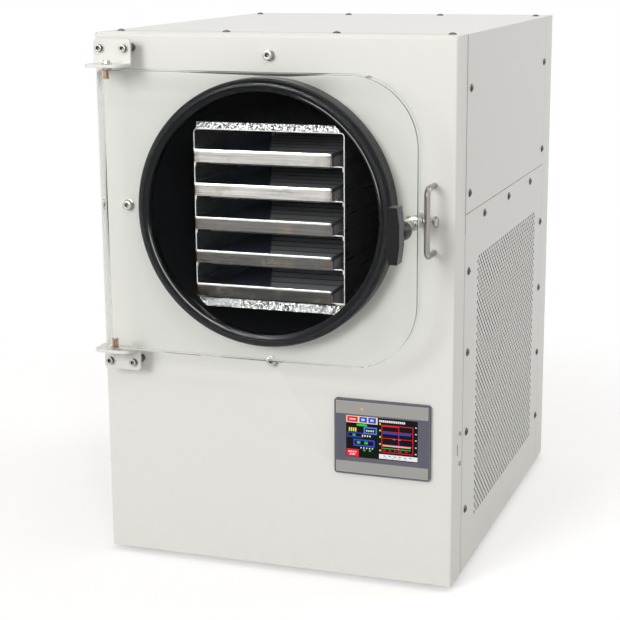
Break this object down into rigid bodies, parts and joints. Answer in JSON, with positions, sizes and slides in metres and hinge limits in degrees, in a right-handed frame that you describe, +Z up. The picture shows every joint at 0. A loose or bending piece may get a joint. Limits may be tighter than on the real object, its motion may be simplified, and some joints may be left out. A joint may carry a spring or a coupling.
{
  "type": "freeze dryer",
  "caption": "Cabinet freeze dryer with a clear hinged door over a round vacuum chamber, removable trays on heated shelves, a touch screen, and vented sides.",
  "frame": {"origin": "middle of the whole object's box, at the underside of the feet", "axes": "+X towards the latch side seen from the front, +Y from the front towards the back, +Z up"},
  "size_m": [0.5198, 0.8134, 0.7579],
  "materials": {
    "body_paint": "fine textured powder coat",
    "bare_steel": "satin",
    "zinc": "zinc plated",
    "dark_fasteners": "blackened",
    "black_rubber": "matt",
    "black_plastic": "satin",
    "clear_plastic": "polished",
    "bronze": "satin",
    "copper_pipe": "dull",
    "foil": "crinkled foil",
    "foam": "matt",
    "heater": "matt",
    "bezel_plastic": "satin",
    "screen": "gloss",
    "lamp": "lit",
    "aluminium_fins": "dull",
    "lever_blue": "satin"
  },
  "bodies": {
    "cabinet": {"base_pan": "bare_steel", "feet": "black_rubber", "front_panel": "body_paint", "top_panel": "body_paint", "right_upper_panel": "body_paint", "right_vent_panel": "body_paint", "left_upper_panel": "body_paint", "left_vent_panel": "body_paint", "back_panel": "body_paint", "mid_deck": "bare_steel", "drum_cradles": "bare_steel", "chamber_drum": "bare_steel", "drum_end": "bare_steel", "mouth_flange": "bare_steel", "door_gasket": "black_rubber", "insulation_jacket": "foam", "evaporator_coil": "copper_pipe", "rack_frame": "bare_steel", "rack_shelves": "bare_steel", "heater_pads": "heater", "foil_pads": "foil", "tray_1": "bare_steel", "tray_2": "bare_steel", "tray_3": "bare_steel", "tray_4": "bare_steel", "tray_5": "bare_steel", "screen_bezel": "bezel_plastic", "screen_panel": "screen", "status_lamp": "lamp", "screen_housing": "black_plastic", "data_port": "black_plastic", "port_screws": "zinc", "upper_hinge_bracket": "body_paint", "lower_hinge_bracket": "body_paint", "bracket_spacers": "dark_fasteners", "bracket_screws": "zinc", "hinge_bolts": "zinc", "striker_bar": "bare_steel", "compressor": "black_plastic", "condenser": "aluminium_fins", "refrigerant_pipes": "copper_pipe", "fan_shroud": "dark_fasteners", "fan_motor": "dark_fasteners", "power_supply": "aluminium_fins", "vacuum_port": "bare_steel", "drain_valve": "bronze", "power_inlet": "black_plastic", "pump_outlet": "black_plastic", "panel_screws": "dark_fasteners", "flange_screws": "zinc"},
    "door": {"door_plate": "clear_plastic", "hinge_bushes": "bronze", "hinge_washers": "zinc"},
    "handle": {"latch_handle": "black_plastic", "latch_shaft": "zinc", "pawl_bolt": "zinc", "pawl_washers": "zinc"},
    "fan": {"fan_blades": "black_plastic"},
    "drain_lever_body": {"drain_lever": "lever_blue"},
    "rocker": {"switch_rocker": "black_plastic"}
  },
  "joints": [
    {"name": "door_hinge", "type": "hinge", "parent": "cabinet", "child": "door", "pos_m": [-0.21566, -0.31585, 0.51884], "axis": [0, 0, -1], "range_deg": [0, 165]},
    {"name": "handle_turn", "type": "hinge", "parent": "door", "child": "handle", "pos_m": [0.21216, -0.32835, 0.51884], "axis": [0, 1, 0], "range_deg": [0, 90]},
    {"name": "fan_spin", "type": "hinge", "parent": "cabinet", "child": "fan", "pos_m": [0.141, 0.01165, 0.147], "axis": [1, 0, 0], "continuous": true},
    {"name": "drain_lever_turn", "type": "hinge", "parent": "cabinet", "child": "drain_lever_body", "pos_m": [0, 0.38165, 0.37968], "axis": [0, 0, 1], "range_deg": [0, 90]},
    {"name": "switch_rock", "type": "hinge", "parent": "cabinet", "child": "rocker", "pos_m": [0.157, 0.35765, 0.152], "axis": [1, 0, 0], "range_deg": [-14, 0]}
  ]
}
